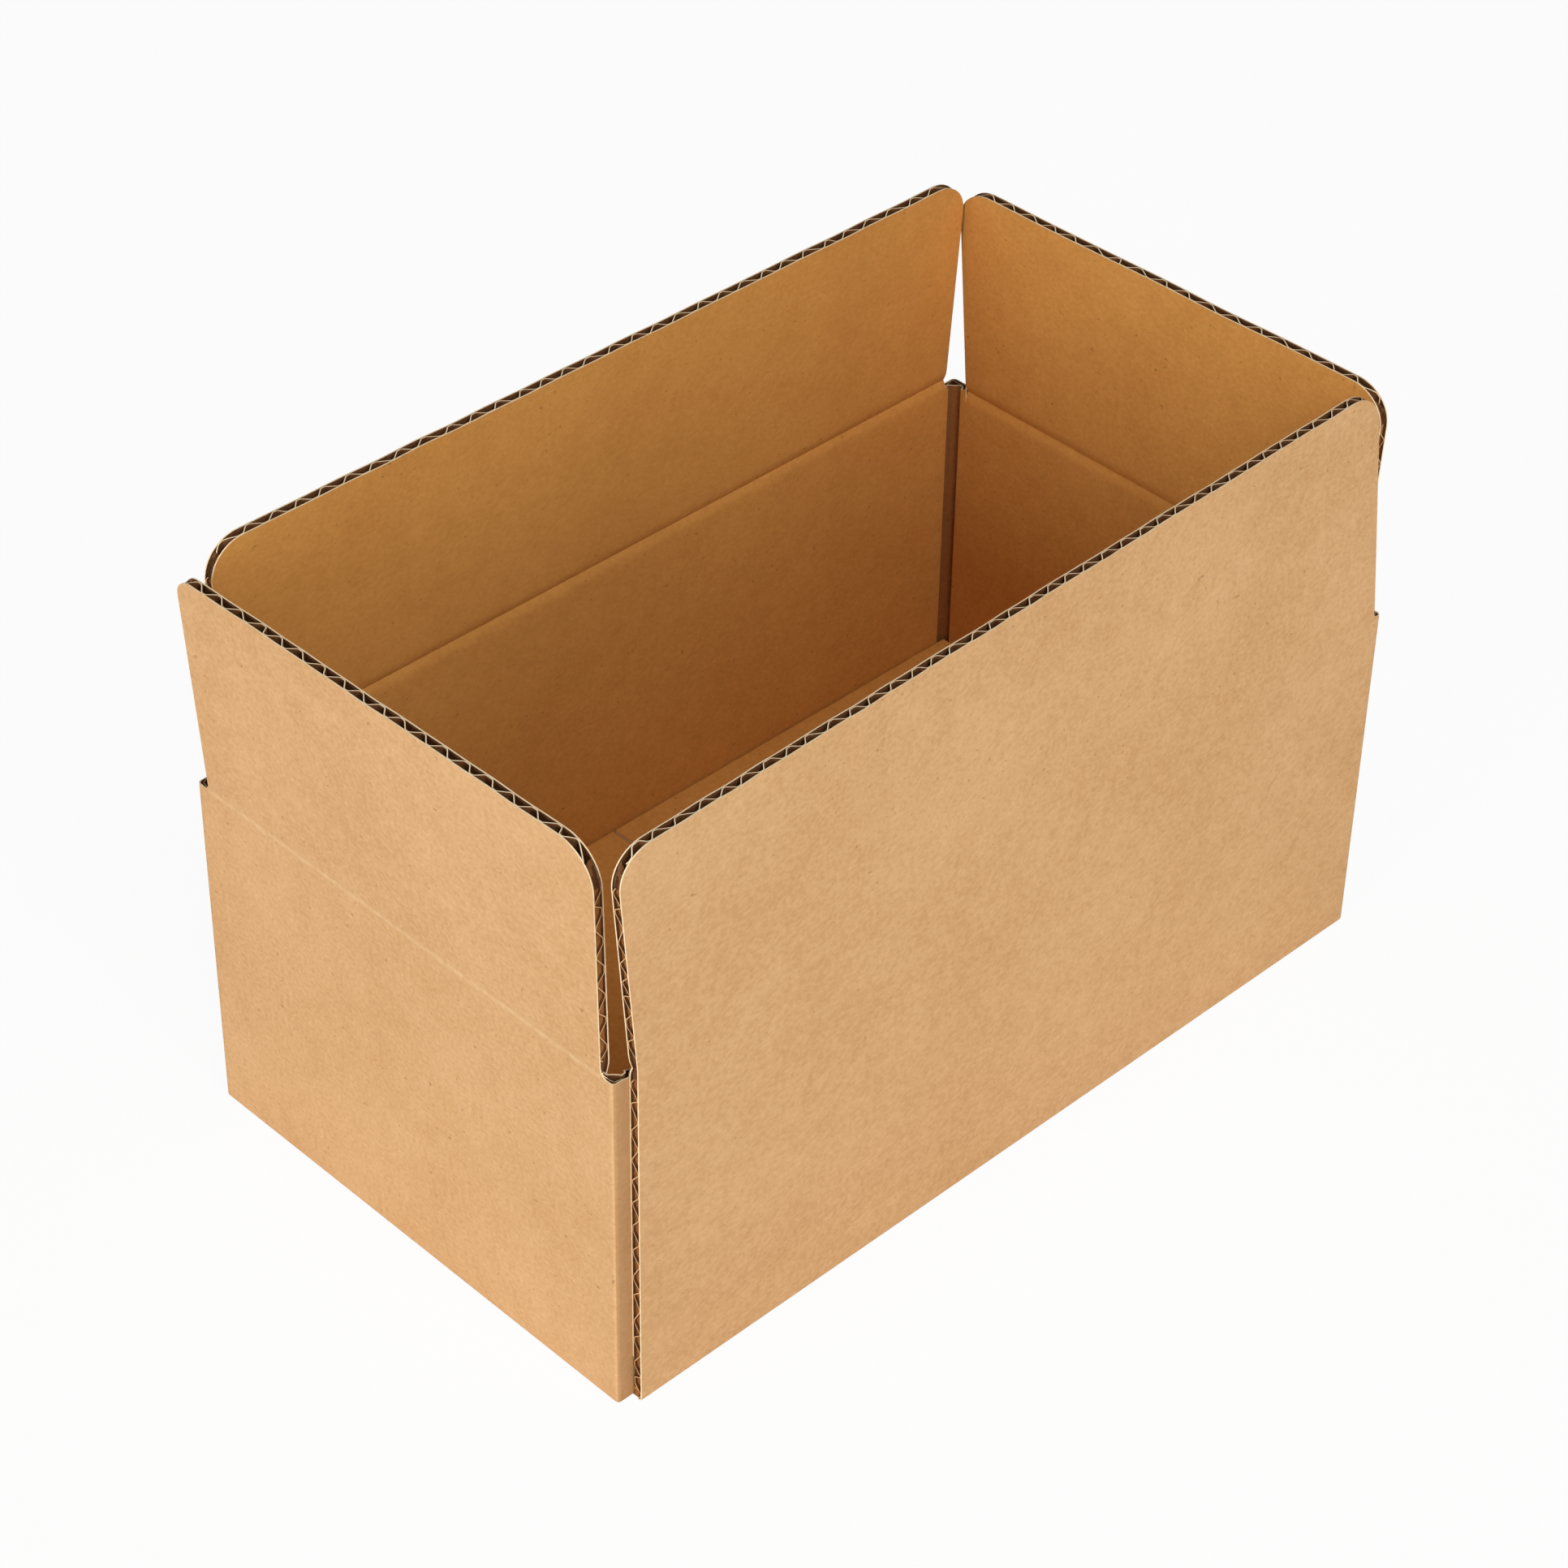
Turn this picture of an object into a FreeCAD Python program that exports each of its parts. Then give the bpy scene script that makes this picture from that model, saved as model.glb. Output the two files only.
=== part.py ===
"""Open cardboard box: four walls, a closed double bottom and four hinged top flaps.

The box is one folded sheet of single-wall corrugated board. X runs along the long sides, Y along
the short sides and Z up. The origin is the centre of the base. The flutes run upright.

The walls, the glue tab and the closed bottom are one solid. Each top flap is a solid of its own
that turns about its crease, so both sides of a crease are mitred at 45 degrees, as crushed board is.
The near corner, at minus X and minus Y, is the maker's joint: the left end wall folds round it
and goes on behind the front wall as the glue tab, and the front wall stops short of the corner
with a raw cut edge.
"""

import FreeCAD, Part
import os
import Sketcher

# Driving dimensions, in millimetres and degrees.
DIMENSIONS = {
    "box_length": 240.0,       # outside, along X
    "box_width": 138.6,        # outside, along Y
    "board": 2.7,              # thickness of the corrugated board
    "liner": 0.3,              # thickness of each flat facing sheet
    "medium": 0.25,            # thickness of the wavy sheet between the facings
    "flute_pitch": 6.5,        # crest to crest along the board
    "flute_crest": 1.2,        # flat of the medium where it is glued to a facing
    "fold_radius": 1.2,        # outside radius of the upright folds
    "end_crease": 93.4,        # height of the creases of the two end flaps
    "stack_gap": 0.3,          # air between closed flaps that lie on each other
    "crease_gap": 0.15,        # air between a mitre face and the true mitre plane
    "flap_depth": 58.5,        # crease to free edge of a top flap
    "flap_corner": 9.0,        # radius of a flap's free corners
    "front_inset": 4.4,        # front flap's side edges and raw joint edge, from the end faces
    "back_inset": 6.0,         # back flap's side edges, from the end faces
    "end_inset": 6.7,          # end flaps' side edges, from the long faces
    "left_rear_inset": 4.2,    # left flap's rear side edge, from the back face
    "front_lean": 4.0,         # inward lean of the open front flap from upright, in degrees
    "back_lean": 1.2,          # inward lean of the open back flap, in degrees
    "left_lean": -2.0,         # inward lean of the open left end flap, in degrees
    "right_lean": 0.6,         # inward lean of the open right end flap, in degrees
    "floor_top": 15.0,         # upper face of the inner pair of bottom flaps
    "floor_seam": 0.8,         # gap where the inner pair of bottom flaps meets
    "tab_width": 26.0,         # glue tab, along the inside of the front wall
    "tab_slant": 7.0,          # how much lower the tab's free edge starts than its fold
    "tool_overrun": 1.0,       # how far a cutting profile reaches past the board
}

# Expressions that more than one sub-part uses.
HALF_LENGTH = "Sizes.box_length / 2"
HALF_WIDTH = "Sizes.box_width / 2"
LONG_CREASE = "(Sizes.end_crease + Sizes.board + Sizes.stack_gap)"
FRONT_SPAN = "(Sizes.box_length - 2 * Sizes.front_inset)"
BACK_SPAN = "(Sizes.box_length - 2 * Sizes.back_inset)"
LEFT_SPAN = "(Sizes.box_width - Sizes.end_inset - Sizes.left_rear_inset)"
RIGHT_SPAN = "(Sizes.box_width - 2 * Sizes.end_inset)"
LEFT_MIDDLE = "((Sizes.end_inset - Sizes.left_rear_inset) / 2)"


def make_sheet(doc):
    """Put the driving dimensions into the document's spreadsheet."""
    sheet = doc.addObject("Spreadsheet::Sheet", "Sizes")
    for row, (name, value) in enumerate(DIMENSIONS.items(), start=1):
        sheet.set(f"A{row}", name)
        sheet.set(f"B{row}", str(value))
        sheet.setAlias(f"B{row}", name)
    doc.recompute()
    return sheet


def new_body(doc, name):
    """Add an empty body whose label names its file."""
    body = doc.addObject("PartDesign::Body", name)
    body.Label = name
    return body


def new_sketch(body, name, role, height="0"):
    """Add a sketch on one of the body's own origin planes, lifted along its normal."""
    plane = next(item for item in body.Origin.OriginFeatures if item.Role == role)
    sketch = body.newObject("Sketcher::SketchObject", name)
    sketch.AttachmentSupport = [(plane, "")]
    sketch.MapMode = "FlatFace"
    sketch.setExpression("AttachmentOffset.Base.z", height)
    return sketch


def draw_outline(sketch, corners):
    """Draw a closed outline whose corners are pairs of expressions, each bound to the sheet."""
    places = [(sketch.evalExpression(x), sketch.evalExpression(y)) for x, y in corners]
    points = [FreeCAD.Vector(float(x), float(y), 0) for x, y in places]
    first = sketch.GeometryCount
    for start, end in zip(points, points[1:] + points[:1]):
        sketch.addGeometry(Part.LineSegment(start, end), False)
    for index, (x_text, y_text) in enumerate(corners):
        line = first + index
        following = first + (index + 1) % len(corners)
        sketch.addConstraint(Sketcher.Constraint("Coincident", line, 2, following, 1))
        for kind, text, value in (("X", x_text, points[index].x), ("Y", y_text, points[index].y)):
            limit = Sketcher.Constraint(f"Distance{kind}", -1, 1, line, 1, value)
            number = sketch.addConstraint(limit)
            sketch.renameConstraint(number, f"{kind.lower()}{line}")
            sketch.setExpression(f"Constraints.{kind.lower()}{line}", text)


def draw_rectangle(sketch, low_x, low_y, high_x, high_y):
    """Draw a rectangle between two corners given as expressions."""
    draw_outline(sketch, [(low_x, low_y), (high_x, low_y), (high_x, high_y), (low_x, high_y)])


def add_pad(body, sketch, name, length, side="One side"):
    """Extrude a sketch along its normal, or both ways from it."""
    pad = body.newObject("PartDesign::Pad", name)
    pad.Profile = sketch
    pad.SideType = side
    pad.setExpression("Length", length)
    body.Document.recompute()
    return pad


def add_pocket(body, sketch, name, length=None, side="One side", upwards=False):
    """Cut a sketch out of the body, to a length or right through, and see that it cut."""
    before = body.Tip.Shape.Volume
    pocket = body.newObject("PartDesign::Pocket", name)
    pocket.Profile = sketch
    pocket.SideType = side
    pocket.Reversed = upwards
    if length is None:
        pocket.Type = "ThroughAll"
    else:
        pocket.setExpression("Length", length)
    body.Document.recompute()
    if pocket.Shape.Volume >= before:
        raise RuntimeError(f"{name} removes nothing")
    return pocket


def round_edges(body, name, radius, wanted):
    """Fillet the edges of the body's tip that a test of their ends picks."""
    tip = body.Tip
    names = []
    for number, edge in enumerate(tip.Shape.Edges, start=1):
        ends = [vertex.Point for vertex in edge.Vertexes]
        if len(ends) == 2 and wanted(*ends):
            names.append(f"Edge{number}")
    fillet = body.newObject("PartDesign::Fillet", name)
    fillet.Base = (tip, names)
    fillet.setExpression("Radius", radius)
    body.Document.recompute()
    return fillet


def make_walls(body):
    """Walls up to the end creases, stepped in at the maker's joint, with rounded folds."""
    sketch = new_sketch(body, "WallOutline", "XY_Plane")
    joint_x = f"-{HALF_LENGTH} + Sizes.front_inset"
    joint_y = f"-{HALF_WIDTH} + Sizes.board"
    draw_outline(sketch, [
        (joint_x, f"-{HALF_WIDTH}"),
        (HALF_LENGTH, f"-{HALF_WIDTH}"),
        (HALF_LENGTH, HALF_WIDTH),
        (f"-{HALF_LENGTH}", HALF_WIDTH),
        (f"-{HALF_LENGTH}", joint_y),
        (joint_x, joint_y),
    ])
    add_pad(body, sketch, "Walls", "Sizes.end_crease")
    end_face = float(sketch.evalExpression(HALF_LENGTH))

    def at_fold(start, end):
        upright = abs(start.x - end.x) + abs(start.y - end.y) < 1e-6
        return upright and abs(abs(start.x) - end_face) < 1e-6

    round_edges(body, "Folds", "Sizes.fold_radius", at_fold)


def inner_rectangle(body, name, height):
    """Sketch the room between the inner faces of the walls, at a height."""
    sketch = new_sketch(body, name, "XY_Plane", height)
    inner_x = f"({HALF_LENGTH} - Sizes.board)"
    inner_y = f"({HALF_WIDTH} - Sizes.board)"
    draw_rectangle(sketch, f"-{inner_x}", f"-{inner_y}", inner_x, inner_y)
    return sketch


def hollow_out(body):
    """Open the room above the floor, and the air between the two pairs of bottom flaps."""
    room = inner_rectangle(body, "RoomOutline", "Sizes.floor_top")
    add_pocket(body, room, "Room", upwards=True)
    layer = inner_rectangle(body, "FloorGapOutline", "Sizes.board")
    add_pocket(body, layer, "FloorGap", "Sizes.floor_top - 2 * Sizes.board", upwards=True)
    seam = new_sketch(body, "FloorSeamOutline", "XY_Plane", "Sizes.floor_top")
    half_seam = "Sizes.floor_seam / 2"
    half_room = f"({HALF_WIDTH} - Sizes.board)"
    draw_rectangle(seam, f"-{half_seam}", f"-{half_room}", half_seam, half_room)
    add_pocket(body, seam, "FloorSeam", "Sizes.board")


def add_glue_tab(body):
    """The end of the left wall's sheet, glued flat behind the front wall, with slanted ends."""
    sketch = new_sketch(body, "TabOutline", "XZ_Plane", f"{HALF_WIDTH} - 2 * Sizes.board")
    fold = f"(-{HALF_LENGTH} + Sizes.board)"
    free = f"({fold} + Sizes.tab_width)"
    draw_outline(sketch, [
        (fold, "Sizes.board"),
        (free, "Sizes.floor_top + Sizes.tab_slant"),
        (free, "Sizes.end_crease - Sizes.tab_slant"),
        (fold, "Sizes.end_crease"),
    ])
    add_pad(body, sketch, "GlueTab", "Sizes.board")


def add_long_lip(body, name, span, side):
    """Raise a long wall to its own crease over the span of its flap, mitred on the inside."""
    sketch = new_sketch(body, f"{name}Outline", "YZ_Plane")
    outer = f"{side} * {HALF_WIDTH}"
    inner = f"{side} * ({HALF_WIDTH} - Sizes.board)"
    draw_outline(sketch, [
        (outer, "Sizes.end_crease"),
        (outer, f"{LONG_CREASE} - Sizes.crease_gap"),
        (inner, f"{LONG_CREASE} - Sizes.crease_gap - Sizes.board"),
        (inner, "Sizes.end_crease"),
    ])
    add_pad(body, sketch, name, span, "Symmetric")


def cut_end_mitre(body, name, span, middle, side):
    """Mitre the inside of an end wall's top over the span of its flap."""
    sketch = new_sketch(body, f"{name}Outline", "XZ_Plane", f"-{middle}")
    outer = f"{side} * ({HALF_LENGTH} + Sizes.tool_overrun)"
    inner = f"{side} * ({HALF_LENGTH} - Sizes.board - Sizes.tool_overrun)"
    level = "Sizes.end_crease - Sizes.crease_gap"
    draw_outline(sketch, [
        (outer, f"{level} + Sizes.tool_overrun"),
        (inner, f"{level} - Sizes.board - Sizes.tool_overrun"),
        (inner, f"{level} + Sizes.tool_overrun"),
    ])
    add_pocket(body, sketch, name, span, "Symmetric")


def make_box_body(doc):
    """Walls, glue tab and closed bottom, as one solid."""
    body = new_body(doc, "box_body")
    make_walls(body)
    hollow_out(body)
    add_glue_tab(body)
    add_long_lip(body, "FrontLip", FRONT_SPAN, -1)
    add_long_lip(body, "BackLip", BACK_SPAN, 1)
    cut_end_mitre(body, "LeftMitre", LEFT_SPAN, LEFT_MIDDLE, -1)
    cut_end_mitre(body, "RightMitre", RIGHT_SPAN, "0", 1)
    return body


def add_flutes(body, span):
    """Cut the air channels on both sides of the wavy medium, all along the flap."""
    rise = "(Sizes.board - 2 * Sizes.liner - Sizes.medium)"
    web = "(2 * Sizes.medium)"
    wide = f"(Sizes.flute_pitch - 2 * {web} - Sizes.flute_crest)"
    pair = f"(Sizes.flute_pitch / 2 + {wide})"
    repeats = f"floor(({span} - 2 * {web} - {pair}) / Sizes.flute_pitch)"
    run = f"({repeats} * Sizes.flute_pitch)"
    first = f"(-({run} + {pair}) / 2 + {wide} / 2)"
    second = f"({first} + Sizes.flute_pitch / 2)"
    sketch = new_sketch(body, "FluteOutline", "XY_Plane")
    outer_base = "Sizes.liner"
    inner_base = "(Sizes.board - Sizes.liner)"
    for centre, base, crest in (
        (first, outer_base, f"({outer_base} + {rise})"),
        (second, inner_base, f"({inner_base} - {rise})"),
    ):
        draw_outline(sketch, [
            (f"{centre} - {wide} / 2", base),
            (f"{centre} + {wide} / 2", base),
            (f"{centre} + Sizes.flute_crest / 2", crest),
            (f"{centre} - Sizes.flute_crest / 2", crest),
        ])
    flute = add_pocket(body, sketch, "Flute", upwards=True)
    row = body.newObject("PartDesign::LinearPattern", "Flutes")
    row.Originals = [flute]
    row.Direction = (sketch, ["H_Axis"])
    row.setExpression("Length", run)
    row.setExpression("Occurrences", f"{repeats} + 1")
    body.Tip = row
    body.Document.recompute()


def make_flap(doc, name, span, place, turn, lean):
    """A top flap, drawn upright on its crease and then set on the box, turned and leaning in."""
    body = new_body(doc, name)
    sketch = new_sketch(body, "SectionOutline", "YZ_Plane")
    draw_outline(sketch, [
        ("0", "Sizes.crease_gap"),
        ("0", "Sizes.flap_depth"),
        ("Sizes.board", "Sizes.flap_depth"),
        ("Sizes.board", "Sizes.crease_gap + Sizes.board"),
    ])
    add_pad(body, sketch, "Board", span, "Symmetric")
    free_edge = float(sketch.evalExpression("Sizes.flap_depth"))

    def at_corner(start, end):
        across = abs(start.x - end.x) + abs(start.z - end.z) < 1e-6
        return across and abs(start.z - free_edge) < 1e-6

    round_edges(body, "Corners", "Sizes.flap_corner", at_corner)
    add_flutes(body, span)
    x_text, y_text, z_text = place
    spot = f"create(<<vector>>; {x_text}; {y_text}; {z_text})"
    turned = f"create(<<rotation>>; {turn}; 0; -{lean})"
    body.setExpression("Placement", f"create(<<placement>>; {spot}; {turned})")
    doc.recompute()
    return body


def make_flaps(doc):
    """The two long flaps and the two end flaps."""
    front = ("0", f"-{HALF_WIDTH}", LONG_CREASE)
    back = ("0", HALF_WIDTH, LONG_CREASE)
    left = (f"-{HALF_LENGTH}", LEFT_MIDDLE, "Sizes.end_crease")
    right = (HALF_LENGTH, "0", "Sizes.end_crease")
    return [
        make_flap(doc, "front_flap", FRONT_SPAN, front, 0, "Sizes.front_lean"),
        make_flap(doc, "back_flap", BACK_SPAN, back, 180, "Sizes.back_lean"),
        make_flap(doc, "left_end_flap", LEFT_SPAN, left, -90, "Sizes.left_lean"),
        make_flap(doc, "right_end_flap", RIGHT_SPAN, right, 90, "Sizes.right_lean"),
    ]


def check_document(doc, bodies):
    """Stop if any object failed or any sub-part is not one valid solid."""
    for item in doc.Objects:
        if "Invalid" in item.State or "Error" in item.State:
            raise RuntimeError(f"{item.Name} is {item.State}")
    for body in bodies:
        shape = body.Shape
        if shape.isNull() or not shape.isValid() or len(shape.Solids) != 1:
            raise RuntimeError(f"{body.Label} is not one valid solid")


def main():
    """Build the box and write one STEP file for each sub-part."""
    doc = FreeCAD.newDocument("CardboardBox")
    make_sheet(doc)
    bodies = [make_box_body(doc)] + make_flaps(doc)
    doc.recompute()
    check_document(doc, bodies)
    os.makedirs("parts", exist_ok=True)
    for body in bodies:
        body.Shape.exportStep(f"parts/{body.Label}.step")
        print(body.Label, f"{body.Shape.Volume:.1f} mm3", body.Shape.BoundBox)


main()
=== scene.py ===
"""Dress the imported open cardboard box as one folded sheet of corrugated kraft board.

Every length is in millimetres until a mesh is written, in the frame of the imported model: X along
the long sides, Y along the ends, Z up, the origin at the centre of the base. The board is shown as
what it is, two flat liners with a wavy medium between them, so that each cut edge shows its flutes.
"""

import logging
import math
from dataclasses import dataclass
from enum import Enum

import bpy
import numpy as np
from mathutils import Matrix, Vector


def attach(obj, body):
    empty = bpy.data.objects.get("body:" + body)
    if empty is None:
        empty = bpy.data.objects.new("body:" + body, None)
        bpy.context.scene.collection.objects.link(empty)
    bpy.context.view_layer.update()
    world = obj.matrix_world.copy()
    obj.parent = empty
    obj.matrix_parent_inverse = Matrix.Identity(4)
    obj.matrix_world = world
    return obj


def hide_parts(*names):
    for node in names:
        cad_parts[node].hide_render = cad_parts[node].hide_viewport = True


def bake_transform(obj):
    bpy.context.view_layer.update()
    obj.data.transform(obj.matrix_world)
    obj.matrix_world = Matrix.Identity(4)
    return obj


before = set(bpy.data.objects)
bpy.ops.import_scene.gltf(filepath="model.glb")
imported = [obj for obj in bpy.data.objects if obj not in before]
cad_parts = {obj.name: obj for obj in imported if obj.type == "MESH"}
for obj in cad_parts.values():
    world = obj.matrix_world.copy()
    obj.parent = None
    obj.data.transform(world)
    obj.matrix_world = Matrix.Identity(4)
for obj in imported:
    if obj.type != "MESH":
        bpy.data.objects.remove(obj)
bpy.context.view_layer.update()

MM = 0.001
LOG = logging.getLogger("cardboard_box")
Array = np.ndarray
Colour = tuple[float, float, float]
Socket = bpy.types.NodeSocket

# Where the medium is drawn behind an edge cut across the flutes, and where the sheet that closes
# its hollows, coloured as painted shade of them, begins and ends, in millimetres from that edge.
EDGE_REACH = np.array([[0.08, 0.9, 1.8, 2.6]])
CORE_INSETS = (0.75, 1.4)
# How far the medium's edge lies below those of the liners, in millimetres.
RECESS = 0.08
# Rows of points up a wall.
WALL_ROWS = 14


class Face(Enum):
    """The faces that the board shows, in the order of a piece's material slots."""

    OUTSIDE = 0
    INSIDE = 1
    CUT = 2
    FLUTE = 3
    # Crushed paper, and painted shade in the inside corners' grooves and in the flute hollows.
    PRESSED_AND_SHADE = 4


# The finishes of a shell's front, back and rims, and those of the board's layers.
Finishes = tuple[Face, Face, Face]
OUTER: Finishes = (Face.OUTSIDE, Face.FLUTE, Face.CUT)
INNER: Finishes = (Face.INSIDE, Face.FLUTE, Face.CUT)
MEDIUM: Finishes = (Face.FLUTE, Face.FLUTE, Face.CUT)
SIDE_MEDIUM: Finishes = (Face.FLUTE, Face.FLUTE, Face.OUTSIDE)
# The sheet that closes the flute hollows: its front is painted shade of the hollows.
CORE: Finishes = (Face.PRESSED_AND_SHADE, Face.FLUTE, Face.FLUTE)
FILLING: Finishes = (Face.FLUTE, Face.FLUTE, Face.FLUTE)


class Wall(Enum):
    """The flap and wall at each side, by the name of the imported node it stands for."""

    FRONT = "front_flap"
    BACK = "back_flap"
    LEFT = "left_end_flap"
    RIGHT = "right_end_flap"


@dataclass(frozen=True)
class BoxSizes:
    """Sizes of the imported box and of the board's details, in millimetres."""

    half_length: float = 120.0
    half_width: float = 69.3
    board: float = 2.7
    liner: float = 0.32
    medium: float = 0.24
    pitch: float = 6.5
    fold_radius: float = 1.2
    base_radius: float = 1.2
    end_crease: float = 93.4
    long_crease: float = 96.4
    crease_half: float = 3.5
    flap_depth: float = 58.5
    raw_edge: float = -115.6
    slot_radius: float = 1.9
    floor_top: float = 15.0
    tab_width: float = 26.0
    tab_slant: float = 7.0
    edge_ripple: float = 0.2
    valley: float = 0.8
    scored_line: float = 0.45
    rubbed_line: float = 0.6
    below_floor: float = 2.5


SIZES = BoxSizes()


@dataclass
class Shell:
    """A closed surface: points with their rubbed wear and painted shade, and faces with their
    finish, rims marked.
    """

    points: Array
    wear_and_shade: Array
    faces: Array
    finish: Array
    rim: Array

    @staticmethod
    def between(front: Array, back: Array, faces: Finishes,
                wear_and_shade: Array | float = 0.0) -> "Shell":
        """Close the space between two grids of points.

        Point (i, j) of the front lies opposite point (i, j) of the back. Quads join neighbours on
        each grid, and rims join the two grids along their four borders. Where the signed volume,
        the sum of a . (b x c) / 6 over the triangles, is negative, every face is turned round.

        Args:
            front: Grid of shape (columns, rows, 3), in millimetres.
            back: Grid of the same shape.
            faces: Finishes of the front, the back and the rims.
            wear_and_shade: How rubbed the front is at each point, up to 1 for pale, and its painted
                shade, down to -1 for dark.

        Returns:
            The closed shell, its faces outwards.
        """
        columns, rows = front.shape[:2]
        near = np.arange(columns * rows).reshape(columns, rows)
        far = near + columns * rows
        parts = [
            (near[:-1, :-1], near[1:, :-1], near[1:, 1:], near[:-1, 1:]),
            (far[:-1, :-1], far[:-1, 1:], far[1:, 1:], far[1:, :-1]),
            (near[1:, 0], near[:-1, 0], far[:-1, 0], far[1:, 0]),
            (near[:-1, -1], near[1:, -1], far[1:, -1], far[:-1, -1]),
            (near[0, :-1], near[0, 1:], far[0, 1:], far[0, :-1]),
            (near[-1, 1:], near[-1, :-1], far[-1, :-1], far[-1, 1:]),
        ]
        quads = [np.stack(part, axis=-1).reshape(-1, 4) for part in parts]
        finish = [faces[min(index, 2)].value for index in range(len(quads))]
        points = np.concatenate([front.reshape(-1, 3), back.reshape(-1, 3)])
        joined = np.concatenate(quads)
        a, b, c, d = (points[joined[:, k]] for k in range(4))
        volume = np.einsum("ij,ij->", a, np.cross(b, c)) + np.einsum("ij,ij->", a, np.cross(c, d))
        if volume < 0:
            joined = joined[:, ::-1]
        counts = [len(quad) for quad in quads]
        worn = np.concatenate([np.broadcast_to(wear_and_shade, (columns, rows)).ravel(), np.zeros(near.size)])
        return Shell(points, worn, joined, np.repeat(finish, counts),
                     np.repeat([False, False, True, True, True, True], counts))

    @staticmethod
    def joined(shells: list["Shell"]) -> "Shell":
        """Put several shells into one piece, each with its points after those before it."""
        starts = np.cumsum([0] + [len(shell.points) for shell in shells[:-1]])
        return Shell(
            np.concatenate([shell.points for shell in shells]),
            np.concatenate([shell.wear_and_shade for shell in shells]),
            np.concatenate([shell.faces + start for shell, start in zip(shells, starts)]),
            np.concatenate([shell.finish for shell in shells]),
            np.concatenate([shell.rim for shell in shells]),
        )

    def make_object(self, name: str, palette: "Palette") -> bpy.types.Object:
        """Write the shell into a mesh object at the origin.

        Args:
            name: The piece's name.
            palette: The finishes.

        Returns:
            The new object, linked to the scene.
        """
        mesh = bpy.data.meshes.new(name)
        count = len(self.faces)
        mesh.vertices.add(len(self.points))
        mesh.vertices.foreach_set("co", (self.points * MM).astype(np.float32).ravel())
        mesh.loops.add(4 * count)
        mesh.loops.foreach_set("vertex_index", self.faces.astype(np.int32).ravel())
        mesh.polygons.add(count)
        mesh.polygons.foreach_set("loop_start", np.arange(0, 4 * count, 4, dtype=np.int32))
        mesh.update(calc_edges=True)
        used = sorted(set(self.finish.tolist()))
        for kind in used:
            mesh.materials.append(palette.material(Face(kind)))
        mesh.polygons.foreach_set("material_index", np.searchsorted(used, self.finish))
        mesh.polygons.foreach_set("use_smooth", ~self.rim)
        borders = np.empty(4 * count, np.int32)
        mesh.loops.foreach_get("edge_index", borders)
        sharp = np.zeros(len(mesh.edges), bool)
        sharp[borders[np.repeat(self.rim, 4)]] = True
        mesh.edges.foreach_set("use_edge_sharp", sharp)
        # The wear_and_shade attribute holds rubbed wear above 0 and painted shade below 0.
        worn = mesh.attributes.new("wear_and_shade", "FLOAT", "POINT")
        worn.data.foreach_set("value", self.wear_and_shade.astype(np.float32))
        mesh.validate()
        piece = bpy.data.objects.new(name, mesh)
        bpy.context.scene.collection.objects.link(piece)
        return piece


@dataclass(frozen=True)
class FluteRun:
    """The wave of the medium along a cut edge, uneven as pressed paper is."""

    seed: int
    pitch: float = SIZES.pitch
    crest: float = 0.17
    slope: float = 0.3
    unevenness: float = 0.09
    slope_spread: float = 0.25
    rounding: float = 0.24

    def wave(self, along: Array) -> Array:
        """Height of the medium, from -1 at the outer liner to 1 at the inner one.

        Each flute rests on the outer liner for its crest, climbs, rests on the inner liner and
        comes down. Widths and slopes vary from flute to flute, and a running mean rounds the bends.

        Args:
            along: Places along the edge, in millimetres.

        Returns:
            The height at each place.
        """
        random = np.random.default_rng(self.seed)
        count = int(np.ceil(np.ptp(along) / self.pitch)) + 6
        widths = self.pitch * (1 + self.unevenness * random.uniform(-1, 1, count))
        starts = along.min() - 2 * self.pitch + np.cumsum(widths) - widths[0]
        climb = self.slope * (1 + self.slope_spread * random.uniform(-1, 1, count))
        fall = self.slope * (1 + self.slope_spread * random.uniform(-1, 1, count))
        shares = np.stack([0 * climb, 0 * climb + self.crest, self.crest + climb, 1 - fall], 1)
        knots = (starts[:, None] + widths[:, None] * shares).ravel()
        levels = np.tile([-1.0, -1.0, 1.0, 1.0], count)
        taps = np.linspace(-self.rounding, self.rounding, 7)
        return np.mean([np.interp(along + tap, knots, levels) for tap in taps], axis=0)

    def layers(self, along: Array, thickness: float, reach: float) -> tuple[Array, Array]:
        """Both faces of the medium as plane curves.

        The middle line is (t, reach * wave(t)). Each face lies half a thickness from it along the
        line's normal (-slope, 1) / length.

        Args:
            along: Places along the edge.
            thickness: Of the medium.
            reach: Half the room between the liners, less half a thickness.

        Returns:
            Two arrays of shape (n, 2): place along the edge, and depth from the board's middle.
        """
        level = reach * self.wave(along)
        slope = np.gradient(level, along)
        length = np.sqrt(1 + slope ** 2)
        side = np.stack([-slope / length, 1 / length], axis=-1) * thickness / 2
        middle = np.stack([along, level], axis=-1)
        return middle + side, middle - side


def medium_reach() -> float:
    """Half the room that the medium's middle line has between the liners."""
    return (SIZES.board - 2 * SIZES.liner - SIZES.medium) / 2


def ripple(along: Array, seed: int, size: float) -> Array:
    """Slow random unevenness of a cut edge: a sum of five sines of 11 to 60 mm."""
    random = np.random.default_rng(seed)
    lengths = random.uniform(11, 60, 5)
    phases = random.uniform(0, 2 * math.pi, 5)
    waves = np.sin(2 * math.pi * along[..., None] / lengths + phases)
    return size * waves.mean(axis=-1)


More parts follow.
